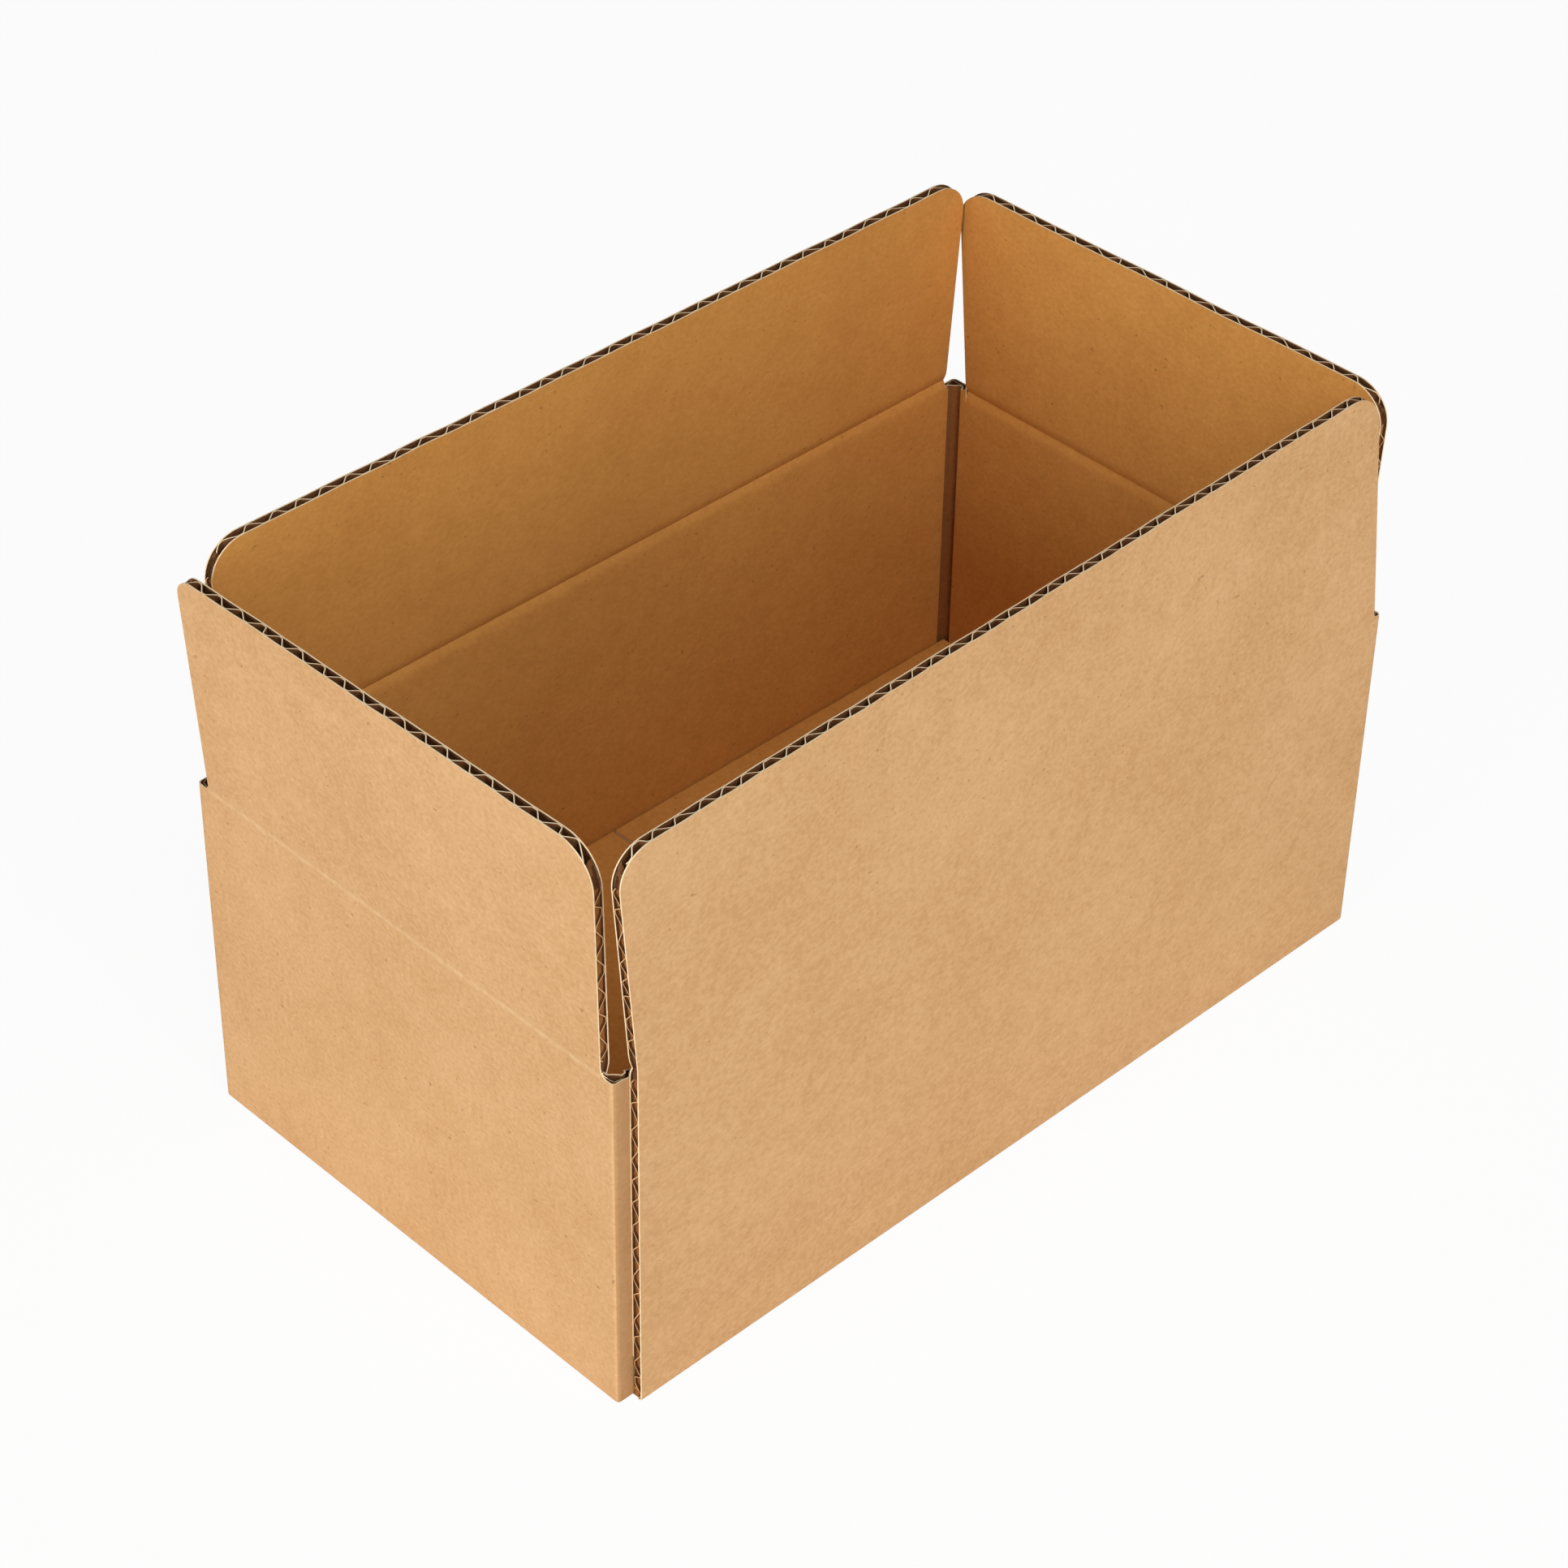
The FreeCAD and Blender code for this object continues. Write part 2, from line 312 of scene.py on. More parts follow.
@dataclass(frozen=True)
class Flap:
    """One open top flap: its liners, its medium and the crease that it hangs on.

    Leans are inward, in degrees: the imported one, and those of the two ends. Flares say how much
    each side edge widens up to the free edge, and score how deep the crease's outer line is.
    """

    wall: Wall
    yaw: float
    hinge: tuple[float, float, float]
    span: float
    lean: float
    lean_ends: tuple[float, float]
    corners: tuple[float, float]
    flares: tuple[float, float]
    score: float
    pitch: float
    seed: int

    def place(self, along: Array, depth: Array, height: Array) -> Array:
        """Carry points of the flat flap to where it stands on the box.

        Along runs beside the crease from the flap's middle, depth inward from its outer face and
        height up from the crease. Above the crease the depth grows by height * tan(extra lean),
        where the extra lean goes evenly from one end to the other, and the point turns by the
        packed lean about the crease. The yaw then turns it about the upright. A ripple that grows
        with the cube of the height keeps the free edge from being ruled.

        Args:
            along: In millimetres.
            depth: The same.
            height: The same.

        Returns:
            The points, with a last axis of three.
        """
        share = np.clip(along / self.span + 0.5, 0, 1)
        extra = self.lean_ends[0] + (self.lean_ends[1] - self.lean_ends[0]) * share - self.lean
        above = np.clip(height, 0, None)
        rise = (above / SIZES.flap_depth) ** 3
        waviness = ripple(along, self.seed, SIZES.edge_ripple)
        depth = depth + above * np.tan(np.radians(extra)) + rise * waviness
        lean = np.where(height > 0, math.radians(self.lean), 0.0)
        inward = depth * np.cos(lean) + height * np.sin(lean)
        upward = height * np.cos(lean) - depth * np.sin(lean)
        turn = math.radians(self.yaw)
        x = self.hinge[0] + along * math.cos(turn) - inward * math.sin(turn)
        y = self.hinge[1] + along * math.sin(turn) + inward * math.cos(turn)
        return np.stack([x, y, self.hinge[2] + upward], axis=-1)

    def top(self, distance: Array) -> Array:
        """Height of the free edge at a distance from the flap's first side edge.

        Within a corner radius r of a side edge, at a distance d from it, the edge drops by
        r - sqrt(r^2 - (r - d)^2), a quarter circle.
        """
        height = np.full(np.shape(distance), SIZES.flap_depth)
        for radius, gap in ((self.corners[0], distance), (self.corners[1], self.span - distance)):
            reach = np.clip(radius - gap, 0, radius)
            height = height - (radius - np.sqrt(radius ** 2 - reach ** 2))
        return height

    def spread(self, distance: Array, height: Array) -> Array:
        """Place along the crease of a point, its side edges flaring evenly with height."""
        share = distance / self.span
        flare = self.flares[1] * share - self.flares[0] * (1 - share)
        return distance - self.span / 2 + flare * np.clip(height, 0, None) / SIZES.flap_depth

    def stand(self, distance: Array, depth: Array | float, height: Array) -> Array:
        """Points on the box by distance from the first side edge, depth and height."""
        distance, depth, height = np.broadcast_arrays(distance, depth, height)
        return self.place(self.spread(distance, height), depth, height)

    def columns(self) -> Array:
        """Distances from the first side edge, close together round the corners."""
        arc = 1 - np.cos(np.linspace(0, math.pi / 2, 13))
        first, last = arc * self.corners[0], self.span - arc[::-1] * self.corners[1]
        middle = np.linspace(first[-1], last[0], int(self.span / 2.5))[1:-1]
        return np.concatenate([first, middle, last])

    def liner(self, outer: float, inner: float, faces: Finishes) -> Shell:
        """A flat liner between two depths, from the crease strip to the free edge."""
        distance = self.columns()[:, None]
        share = np.linspace(0, 1, 9)[None, :]
        height = SIZES.crease_half + share * (self.top(distance) - SIZES.crease_half)
        grids = [self.stand(distance, depth, height) for depth in (outer, inner)]
        return Shell.between(*grids, faces)

    def long_flutes(self) -> Shell:
        """The medium behind the free edge: the wave along the crease, carried upright."""
        distance = np.arange(SIZES.board, self.span - SIZES.board, SIZES.pitch / 22)
        run = FluteRun(self.seed + 10, pitch=self.pitch)
        share = np.array([[0.0, 0.6, 1.0]])
        grids = []
        for layer in run.layers(distance, SIZES.medium, medium_reach()):
            gap = layer[:, :1]
            height = SIZES.crease_half + share * (self.top(gap) - RECESS - SIZES.crease_half)
            grids.append(self.stand(gap, SIZES.board / 2 + layer[:, 1:], height))
        return Shell.between(*grids, MEDIUM)

    def side_flutes(self, end: int) -> Shell:
        """The medium at a side edge, 0 or 1: the wave up the edge, carried a little way in."""
        rise = np.arange(SIZES.crease_half, SIZES.flap_depth - 1.0, SIZES.pitch / 20)
        run = FluteRun(self.seed + 20 + end, pitch=6.4, slope=0.36, crest=0.1, unevenness=0.2)
        distance = EDGE_REACH if end == 0 else self.span - EDGE_REACH
        ceiling = self.top(distance) - RECESS
        grids = []
        for layer in run.layers(rise, SIZES.medium, medium_reach()):
            height = np.minimum(layer[:, :1], ceiling)
            grids.append(self.stand(distance, SIZES.board / 2 + layer[:, 1:], height))
        return Shell.between(*grids, SIDE_MEDIUM)

    def side_core(self, end: int) -> Shell:
        """A sheet that closes the hollows a little way in from a side edge, its colour painted
        shade of the hollows behind it.
        """
        rise, below = np.linspace(0, 1, 24)[:, None], 0.5
        depth = np.linspace(SIZES.liner, SIZES.board - SIZES.liner, 3)[None, :]
        grids = []
        for inset in CORE_INSETS:
            distance = np.array([[inset if end == 0 else self.span - inset]])
            height = SIZES.crease_half + rise * (self.top(distance) - below - SIZES.crease_half)
            grids.append(self.stand(distance, depth, height))
        return Shell.between(*grids, CORE)

    def board(self) -> Shell:
        """Both liners and the medium of the flap."""
        return Shell.joined([
            self.liner(0.0, SIZES.liner, OUTER),
            self.liner(SIZES.board, SIZES.board - SIZES.liner, INNER),
            self.long_flutes(),
            self.side_flutes(0),
            self.side_flutes(1),
            self.side_core(0),
            self.side_core(1),
        ])

    def crease(self) -> Shell:
        """The pressed strip between wall and flap: two liners and the crushed medium between.

        Outside, a shallow scored line has its paper rubbed pale. Inside, the depth of the valley is
        0.8 * (1 - |height| / half width)^2.2, so both sides turn away from a sharp line at the
        crease. Rows lie at |u|^1.6 of the half width, closest together at that line. The filling
        keeps a tenth of a liner off both liners, and its ends lie back from the side edges.
        """
        steps = np.linspace(-1, 1, 25)
        rows = np.sign(steps) * np.abs(steps) ** 1.6 * SIZES.crease_half
        dent = self.score * np.exp(-((rows / SIZES.scored_line) ** 2))
        valley = SIZES.board - SIZES.valley * (1 - np.abs(rows) / SIZES.crease_half) ** 2.2
        rubbed = np.exp(-((rows / SIZES.rubbed_line) ** 2)) * (self.score > 0)

        def layer(depth: Array, distance: Array) -> Array:
            """A grid at a depth for each row, over distances from the first side edge."""
            return self.stand(distance[:, None], depth[None, :], rows[None, :])

        steps_along, setback = int(self.span / 4), 0.7
        full = np.linspace(0, self.span, steps_along)
        short = np.linspace(setback, self.span - setback, steps_along)
        skin, clear = SIZES.liner, 1.1 * SIZES.liner
        return Shell.joined([
            Shell.between(layer(dent, full), layer(dent + skin, full), OUTER, rubbed[None, :]),
            Shell.between(layer(valley, full), layer(valley - skin, full), INNER),
            Shell.between(layer(dent + clear, short), layer(valley - clear, short), FILLING),
        ])

    def dress(self, palette: "Palette") -> list[bpy.types.Object]:
        """Make the flap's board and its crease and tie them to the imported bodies.

        Args:
            palette: The finishes.

        Returns:
            The board and the crease strip.
        """
        node = self.wall.value
        board = self.board().make_object(f"{node}_board", palette)
        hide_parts(node)
        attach(board, node)
        strip = self.crease().make_object(f"{node}_crease_strip", palette)
        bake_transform(strip)
        return [board, strip]


@dataclass(frozen=True)
class Path:
    """A line in plan along the wall, with what each point needs: inward normal and wall heights."""

    points: Array
    inward: Array
    low: Array
    top: Array

    def lengths(self) -> Array:
        """Distance of each point from the start, along the line."""
        steps = np.linalg.norm(np.diff(self.points, axis=0), axis=1)
        return np.concatenate([[0], np.cumsum(steps)])

    def at(self, along: Array) -> "Path":
        """The same line read at other distances, each value interpolated evenly."""
        known = self.lengths()
        pick = [np.interp(along, known, self.points[:, k]) for k in range(2)]
        turn = [np.interp(along, known, self.inward[:, k]) for k in range(2)]
        low, top = (np.interp(along, known, values) for values in (self.low, self.top))
        return Path(np.stack(pick, 1), np.stack(turn, 1), low, top)

    def carry(self, depth: Array, height: Array) -> Array:
        """Points at a depth inward from the line and at a height, one column for each point."""
        flat = self.points[:, None, :] + self.inward[:, None, :] * depth[..., None]
        return np.concatenate([flat, height[..., None]], axis=-1)


@dataclass(frozen=True)
class BoxBody:
    """Walls, glue tab, maker's joint and closed bottom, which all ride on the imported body."""

    spans: dict[Wall, tuple[float, float]]

    def slot_top(self, coordinate: Array, wall: Wall) -> Array:
        """Height of a wall's cut edge.

        Inside the flap's span it stops at the foot of the crease strip. Outside, it is the bottom
        of the slot, which rises by r - sqrt(r^2 - (r - d)^2) within a radius r of the flap.

        Args:
            coordinate: Place along the wall, X for the long walls and Y for the ends.
            wall: The wall.

        Returns:
            The heights.
        """
        low, high = self.spans[wall]
        crease = SIZES.long_crease if wall in (Wall.FRONT, Wall.BACK) else SIZES.end_crease
        gap = np.maximum(low - coordinate, coordinate - high)
        reach = np.clip(SIZES.slot_radius - gap, 0, SIZES.slot_radius)
        rise = SIZES.slot_radius - np.sqrt(SIZES.slot_radius ** 2 - reach ** 2)
        return np.where(gap <= 0, crease - SIZES.crease_half, SIZES.end_crease + rise)

    def side(self, start: float, end: float, wall: Wall) -> Array:
        """Places along a wall, close together where its cut edge bends."""
        low, high = self.spans[wall]
        bends = [low - 0.01, low + 0.01, high - 0.01, high + 0.01]
        round_low = low - np.linspace(0.01, SIZES.slot_radius, 9)
        round_high = high + np.linspace(0.01, SIZES.slot_radius, 9)
        places = np.concatenate([np.linspace(start, end, 44), bends, round_low, round_high])
        places = np.unique(places[(places >= min(start, end)) & (places <= max(start, end))])
        return places if start < end else places[::-1]

    def outer_path(self) -> Path:
        """The outer face in plan, from the raw joint edge round the box to the tab's free edge.

        Straight runs join quarter circles of the fold radius, and the inward normal of a quarter
        circle is minus its radius.
        """
        radius, length, width = SIZES.fold_radius, SIZES.half_length, SIZES.half_width
        tab_face = -width + SIZES.board
        points, normals, lows, tops = [], [], [], []

        def run(xs: Array, ys: Array, normal: tuple[float, float], low: Array, top: Array) -> None:
            """Add a straight run."""
            line = np.stack(np.broadcast_arrays(xs, ys), axis=-1).astype(float)
            points.append(line)
            normals.append(np.broadcast_to(np.array(normal, float), line.shape))
            lows.append(np.broadcast_to(low, len(line)).astype(float))
            tops.append(np.broadcast_to(top, len(line)).astype(float))

        def fold(centre_x: float, centre_y: float, start: float) -> None:
            """Add a quarter circle that starts at an angle in degrees."""
            angles = np.radians(start + np.linspace(0, 90, 11))[1:-1]
            spoke = np.stack([np.cos(angles), np.sin(angles)], axis=-1)
            points.append(np.array([centre_x, centre_y]) + radius * spoke)
            normals.append(-spoke)
            lows.append(np.zeros(len(angles)))
            tops.append(np.full(len(angles), SIZES.end_crease))

        x_end, y_end = length - radius, width - radius
        front = self.side(SIZES.raw_edge, x_end, Wall.FRONT)
        run(front, -width, (0, 1), 0, self.slot_top(front, Wall.FRONT))
        fold(x_end, -y_end, -90)
        right = self.side(-y_end, y_end, Wall.RIGHT)
        run(length, right, (-1, 0), 0, self.slot_top(right, Wall.RIGHT))
        fold(x_end, y_end, 0)
        back = self.side(x_end, -x_end, Wall.BACK)
        run(back, width, (0, -1), 0, self.slot_top(back, Wall.BACK))
        fold(-x_end, y_end, 90)
        left = self.side(y_end, tab_face + radius, Wall.LEFT)
        run(-length, left, (1, 0), 0, self.slot_top(left, Wall.LEFT))
        fold(-x_end, tab_face + radius, 180)
        # The first three places lie before the front wall's raw edge, where the tab shows outside
        # and reaches the base. The others lie behind the front wall.
        share = np.concatenate([[0, 0.06], np.linspace(0.065, 1, 12)])
        tab = -length + SIZES.board + share * SIZES.tab_width
        slanted = SIZES.board + share * (SIZES.floor_top + SIZES.tab_slant - SIZES.board)
        low = np.where(tab < SIZES.raw_edge, 0, slanted)
        run(tab, tab_face, (0, 1), low, SIZES.end_crease - share * SIZES.tab_slant)
        return Path(*(np.concatenate(part) for part in (points, normals, lows, tops)))

    def inner_path(self) -> Path:
        """The inner face in plan, with the pressed groove that each inside corner has.

        A groove leaves the wall 2.2 mm before the corner and runs 1.2 mm deeper. Between it and
        the groove of the next wall a low ridge stands up. The normals are those of the smoothed
        line.
        """
        length, width = SIZES.half_length - SIZES.board, SIZES.half_width - SIZES.board
        tab_face, foot = -width + SIZES.board, SIZES.floor_top - SIZES.below_floor
        points, lows, tops = [], [], []

        def run(xs: Array, ys: Array, top: Array) -> None:
            """Add a straight run, without the stretch that a groove takes at either end."""
            line = np.stack(np.broadcast_arrays(xs, ys), axis=-1).astype(float)
            points.append(line)
            lows.append(np.full(len(line), foot))
            tops.append(np.broadcast_to(top, len(line)).astype(float))

        def groove(x: float, y: float, came: tuple[int, int], goes: tuple[int, int]) -> None:
            """Add the groove at a corner between the directions that the line has there."""
            before, after = np.array(came, float), np.array(goes, float)
            corner = np.array([x, y], float)
            points.append(np.array([
                corner - 2.1 * before - 0.5 * after,
                corner - 1.8 * before - 1.1 * after,
                corner - 0.9 * before - 1.2 * after,
                corner - 0.2 * before - 0.3 * after,
                corner + 0.3 * before + 0.2 * after,
                corner + 1.2 * before + 0.9 * after,
                corner + 1.1 * before + 1.8 * after,
                corner + 0.5 * before + 2.1 * after,
            ]))
            lows.append(np.full(len(points[-1]), foot))
            tops.append(np.full(len(points[-1]), SIZES.end_crease))

        stop = 2.2
        front = self.side(SIZES.raw_edge, length - stop, Wall.FRONT)
        run(front, -width, self.slot_top(front, Wall.FRONT))
        groove(length, -width, (1, 0), (0, 1))
        right = self.side(-width + stop, width - stop, Wall.RIGHT)
        run(length, right, self.slot_top(right, Wall.RIGHT))
        groove(length, width, (0, 1), (-1, 0))
        back = self.side(length - stop, -length + stop, Wall.BACK)
        run(back, width, self.slot_top(back, Wall.BACK))
        groove(-length, width, (-1, 0), (0, -1))
        left = self.side(width - stop, tab_face + stop, Wall.LEFT)
        run(-length, left, self.slot_top(left, Wall.LEFT))
        groove(-length, tab_face, (0, -1), (1, 0))
        share = np.linspace(0.09, 1, 12)
        tab = -length + share * SIZES.tab_width
        run(tab, tab_face, SIZES.end_crease - share * SIZES.tab_slant)
        line, low, top = (np.concatenate(part) for part in (points, lows, tops))
        low[-len(share):] = SIZES.floor_top + share * SIZES.tab_slant
        ahead = np.gradient(line, axis=0)
        ahead /= np.linalg.norm(ahead, axis=1, keepdims=True)
        return Path(line, np.stack([-ahead[:, 1], ahead[:, 0]], axis=-1), low, top)

    def outer_liner(self) -> Shell:
        """The outer liner: up the wall from a quarter circle at the base.

        The base's points are (r - r sin a, r - r cos a) in depth and height, and the inner side of
        the liner is a thickness further in along (sin a, cos a). The tab's face beside the raw edge
        has painted shade, for the shade beside the front wall's edge, which the wear_and_shade
        attribute carries with values below 0.
        """
        path = self.outer_path()
        angles = np.radians(np.linspace(0, 90, 6))
        rise = np.linspace(0, 1, WALL_ROWS)[None, 1:]
        radius, thick = SIZES.base_radius, SIZES.liner
        grids = []
        for skin in (0.0, thick):
            base_depth = (radius - (radius - skin) * np.sin(angles))[None, :]
            base_height = (radius - (radius - skin) * np.cos(angles))[None, :] + path.low[:, None]
            straight = base_height[:, -1:] + rise * (path.top[:, None] - base_height[:, -1:])
            height = np.concatenate([base_height, straight], axis=1)
            depth = np.concatenate([base_depth, skin + 0 * rise], axis=1) + 0 * height
            grids.append(path.carry(depth, height))
        # Painted shade: the tab's outer face darkens halfway to the fleck colour, fading over 4 mm
        # near its far end, for the shade beside the front wall's raw edge.
        fade, tolerance, painted_tab_shade = 4.0, 0.4, -0.5
        recess = np.clip((SIZES.tab_width - SIZES.half_length - path.points[:, 0]) / fade, 0, 1)
        off_tab = np.abs(path.points[:, 1] + SIZES.half_width - SIZES.board)
        recess = recess * (off_tab < tolerance)
        return Shell.between(*grids, OUTER, painted_tab_shade * recess[:, None])

    def inner_liner(self) -> Shell:
        """The inner liner, from just under the floor to the cut edge, pressed in its grooves, whose
        darker finish is painted shade.
        """
        path, groove_reach = self.inner_path(), 2.0
        share = np.linspace(0, 1, WALL_ROWS)[None, :]
        height = path.low[:, None] + share * (path.top - path.low)[:, None]
        front = path.carry(0 * height, height)
        back = path.carry(0 * height - SIZES.liner, height)
        liner = Shell.between(front, back, INNER)
        corner = np.array([SIZES.half_length, SIZES.half_width]) - SIZES.board
        middle = liner.points[liner.faces].mean(axis=1)[:, :2]
        # Painted shade: inner-liner faces within 2 mm of an inside corner take the darker pressed
        # finish, for the shade in the corner grooves.
        pressed = np.linalg.norm(corner - np.abs(middle), axis=1) < groove_reach
        liner.finish[pressed & (liner.finish == Face.INSIDE.value)] = Face.PRESSED_AND_SHADE.value
        return liner

    def slot_flutes(self) -> Shell:
        """The medium round the box, a short way down from the cut edge.

        The wave runs along the wall's middle. Within 6.2 mm of a corner of the box the board is
        crushed, over a change of 1.4 mm, so there it loses 0.68 of its height and moves 0.62 mm
        towards the outer liner.
        """
        reach, change, lost, shift, drop = 6.2, 1.4, 0.68, 0.62, 14.0
        path = self.outer_path()
        along = np.arange(2.8, path.lengths()[-1] - 0.3, SIZES.pitch / 20)
        corner = np.array([SIZES.half_length, SIZES.half_width])
        near = np.linalg.norm(corner - np.abs(path.at(along).points), axis=1)
        crush = np.clip((reach - near) / change, 0, 1)
        grids = []
        for layer in FluteRun(3).layers(along, SIZES.medium, medium_reach()):
            spot = path.at(layer[:, 0])
            middle = SIZES.board / 2 - shift * crush
            depth = (middle + layer[:, 1] * (1 - lost * crush))[:, None]
            height = spot.top[:, None] - np.array([[drop, RECESS]])
            grids.append(spot.carry(depth + 0 * height, height))
        return Shell.between(*grids, MEDIUM)

    def joint_flutes(self) -> Shell:
        """The medium at the raw upright edge of the front wall: its wave, and a sheet behind it
        whose colour is painted shade of the hollows.
        """
        rise = np.arange(0.5, SIZES.long_crease - SIZES.crease_half, SIZES.pitch / 20)
        run = FluteRun(4, slope=0.36, crest=0.1, unevenness=0.15)

        def grid(inset: Array | float, depth: Array, height: Array) -> Array:
            """Points behind the raw edge by inset, depth from the outer face and height."""
            x, y = SIZES.raw_edge + inset, depth - SIZES.half_width
            return np.stack(np.broadcast_arrays(x, y, height), axis=-1)

        wave = [grid(EDGE_REACH, SIZES.board / 2 + layer[:, 1:], layer[:, :1])
                for layer in run.layers(rise, SIZES.medium, medium_reach())]
        heights = np.linspace(rise[0], rise[-1], 30)[:, None]
        depths = np.array([[SIZES.liner, SIZES.board - SIZES.liner]])
        core = [grid(inset, depths, heights) for inset in CORE_INSETS]
        return Shell.joined([
            Shell.between(*wave, SIDE_MEDIUM),
            Shell.between(*core, CORE),
        ])

    def bottom_board(self, low: tuple[float, float], high: tuple[float, float],
                     base: float, faces: Finishes) -> Shell:
        """A bottom flap: a flat board whose rim is rounded by a quarter of a millimetre.

        Args:
            low: Lowest X and Y.
            high: Highest X and Y.
            base: Height of its lower face.
            faces: Finishes of the top, the underside and the rim.

        Returns:
            The closed board.
        """
        ease = np.array([0, 0.07, 0.25, 0.6])
        drop = np.array([0.3, 0.14, 0.03, 0])
        border, count = 2, 24
        xs, ys = (np.concatenate([start + ease, np.linspace(start + border, end - border, count),
                                  end - ease[::-1]]) for start, end in zip(low, high))
        xs, ys = xs[:, None], ys[None, :]
        dip = np.concatenate([drop, np.zeros(count), drop[::-1]])
        sink = np.maximum(dip[:, None], dip[None, :])
        x, y = xs + 0 * ys, ys + 0 * xs
        top = np.stack([x, y, base + SIZES.board - sink], axis=-1)
        under = np.stack([x, y, base + sink], axis=-1)
        return Shell.between(top, under, faces)

    def floor(self) -> Shell:
        """The inner pair of bottom flaps, meeting in the middle of the length."""
        end_gap, side_gap, half_seam = 0.15, 0.45, 0.4
        x = SIZES.half_length - SIZES.board - end_gap
        y = SIZES.half_width - SIZES.board - side_gap
        base = SIZES.floor_top - SIZES.board
        faces = (Face.INSIDE, Face.OUTSIDE, Face.CUT)
        return Shell.joined([
            self.bottom_board((-x, -y), (-half_seam, y), base, faces),
            self.bottom_board((half_seam, -y), (x, y), base, faces),
        ])

    def underside(self) -> Shell:
        """The outer pair of bottom flaps, meeting in the middle of the width."""
        end_gap, joint_gap, half_seam = 0.45, 0.3, 0.25
        x = SIZES.half_length - SIZES.base_radius - end_gap
        y = SIZES.half_width - SIZES.base_radius
        faces = (Face.INSIDE, Face.OUTSIDE, Face.PRESSED_AND_SHADE)
        return Shell.joined([
            self.bottom_board((SIZES.raw_edge + joint_gap, -y), (x, -half_seam), 0.0, faces),
            self.bottom_board((-x, half_seam), (x, y), 0.0, faces),
        ])

    def dress(self, palette: "Palette") -> list[bpy.types.Object]:
        """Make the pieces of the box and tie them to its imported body.

        Args:
            palette: The finishes.

        Returns:
            The pieces.
        """
        flutes = Shell.joined([self.slot_flutes(), self.joint_flutes()])
        shells = {
            "wall_outer_liner": self.outer_liner(),
            "wall_inner_liner": self.inner_liner(),
            "wall_fluting": flutes,
            "floor_flaps": self.floor(),
            "underside_flaps": self.underside(),
        }
        pieces = [shell.make_object(name, palette) for name, shell in shells.items()]
        for piece in pieces:
            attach(piece, "box")
        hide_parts("box_body")
        return pieces


class NodeBench:
    """Adds nodes to a material or world, one call each."""

    def __init__(self, holder: bpy.types.Material | bpy.types.World) -> None:
        """Turn on the nodes of a material or world and work on them."""
        holder.use_nodes = True
        self.tree = holder.node_tree

    def own(self, kind: str) -> bpy.types.Node:
        """The node of a type that the tree starts with."""
        return next(node for node in self.tree.nodes if node.type == kind)

    def node(self, kind: str, **settings: object) -> bpy.types.Node:
        """Add a node and set its properties, or its inputs where the name is one.

        Args:
            kind: The node's type name.
            settings: Values by property name, or by input name with spaces as underscores.

        Returns:
            The node.
        """
        made = self.tree.nodes.new(kind)
        for key, value in settings.items():
            label = key.replace("_", " ")
            if label in made.inputs:
                made.inputs[label].default_value = value
            else:
                setattr(made, key, value)
        return made

    def link(self, source: Socket, target: Socket) -> None:
        """Join two sockets."""
        self.tree.links.new(source, target)

    def noise(self, coordinates: Socket, scale: float, detail: float) -> Socket:
        """A noise pattern read at the coordinates, as its value from 0 to 1."""
        made = self.node("ShaderNodeTexNoise", Scale=scale, Detail=detail, Roughness=0.6)
        self.link(coordinates, made.inputs["Vector"])
        return made.outputs["Fac"]

    def scaled(self, value: Socket, low: float, high: float, to_low: float,
               to_high: float) -> Socket:
        """A value mapped from one range to another and held inside it."""
        made = self.node("ShaderNodeMapRange", From_Min=low, From_Max=high,
                         To_Min=to_low, To_Max=to_high)
        self.link(value, made.inputs["Value"])
        return made.outputs["Result"]

    def combine(self, kind: str, first: Socket, second: Socket) -> Socket:
        """Two values through one arithmetic step."""
        made = self.node("ShaderNodeMath", operation=kind)
        self.link(first, made.inputs[0])
        self.link(second, made.inputs[1])
        return made.outputs[0]

    def seen(self) -> Socket:
        """1 for rays of the camera and those that gloss or glass sends on, 0 for the rest."""
        rays = self.node("ShaderNodeLightPath")
        sent_on = self.combine("MAXIMUM", rays.outputs["Is Glossy Ray"],
                               rays.outputs["Is Transmission Ray"])
        return self.combine("MAXIMUM", rays.outputs["Is Camera Ray"], sent_on)

    def mixed(self, share: Socket, first: Socket | Colour, second: Socket | Colour) -> Socket:
        """One colour turning into another as the share goes from 0 to 1."""
        made = self.node("ShaderNodeMix", data_type="RGBA")
        self.link(share, made.inputs[0])
        for source, socket in ((first, made.inputs[6]), (second, made.inputs[7])):
            if isinstance(source, tuple):
                socket.default_value = (*source, 1.0)
            else:
                self.link(source, socket)
        return made.outputs[2]


def linear(red: int, green: int, blue: int) -> Colour:
    """A colour of 0 to 255 as linear light, by the sRGB curve."""
    parts = [value / 255 for value in (red, green, blue)]
    return tuple(p / 12.92 if p <= 0.04045 else ((p + 0.055) / 1.055) ** 2.4 for p in parts)


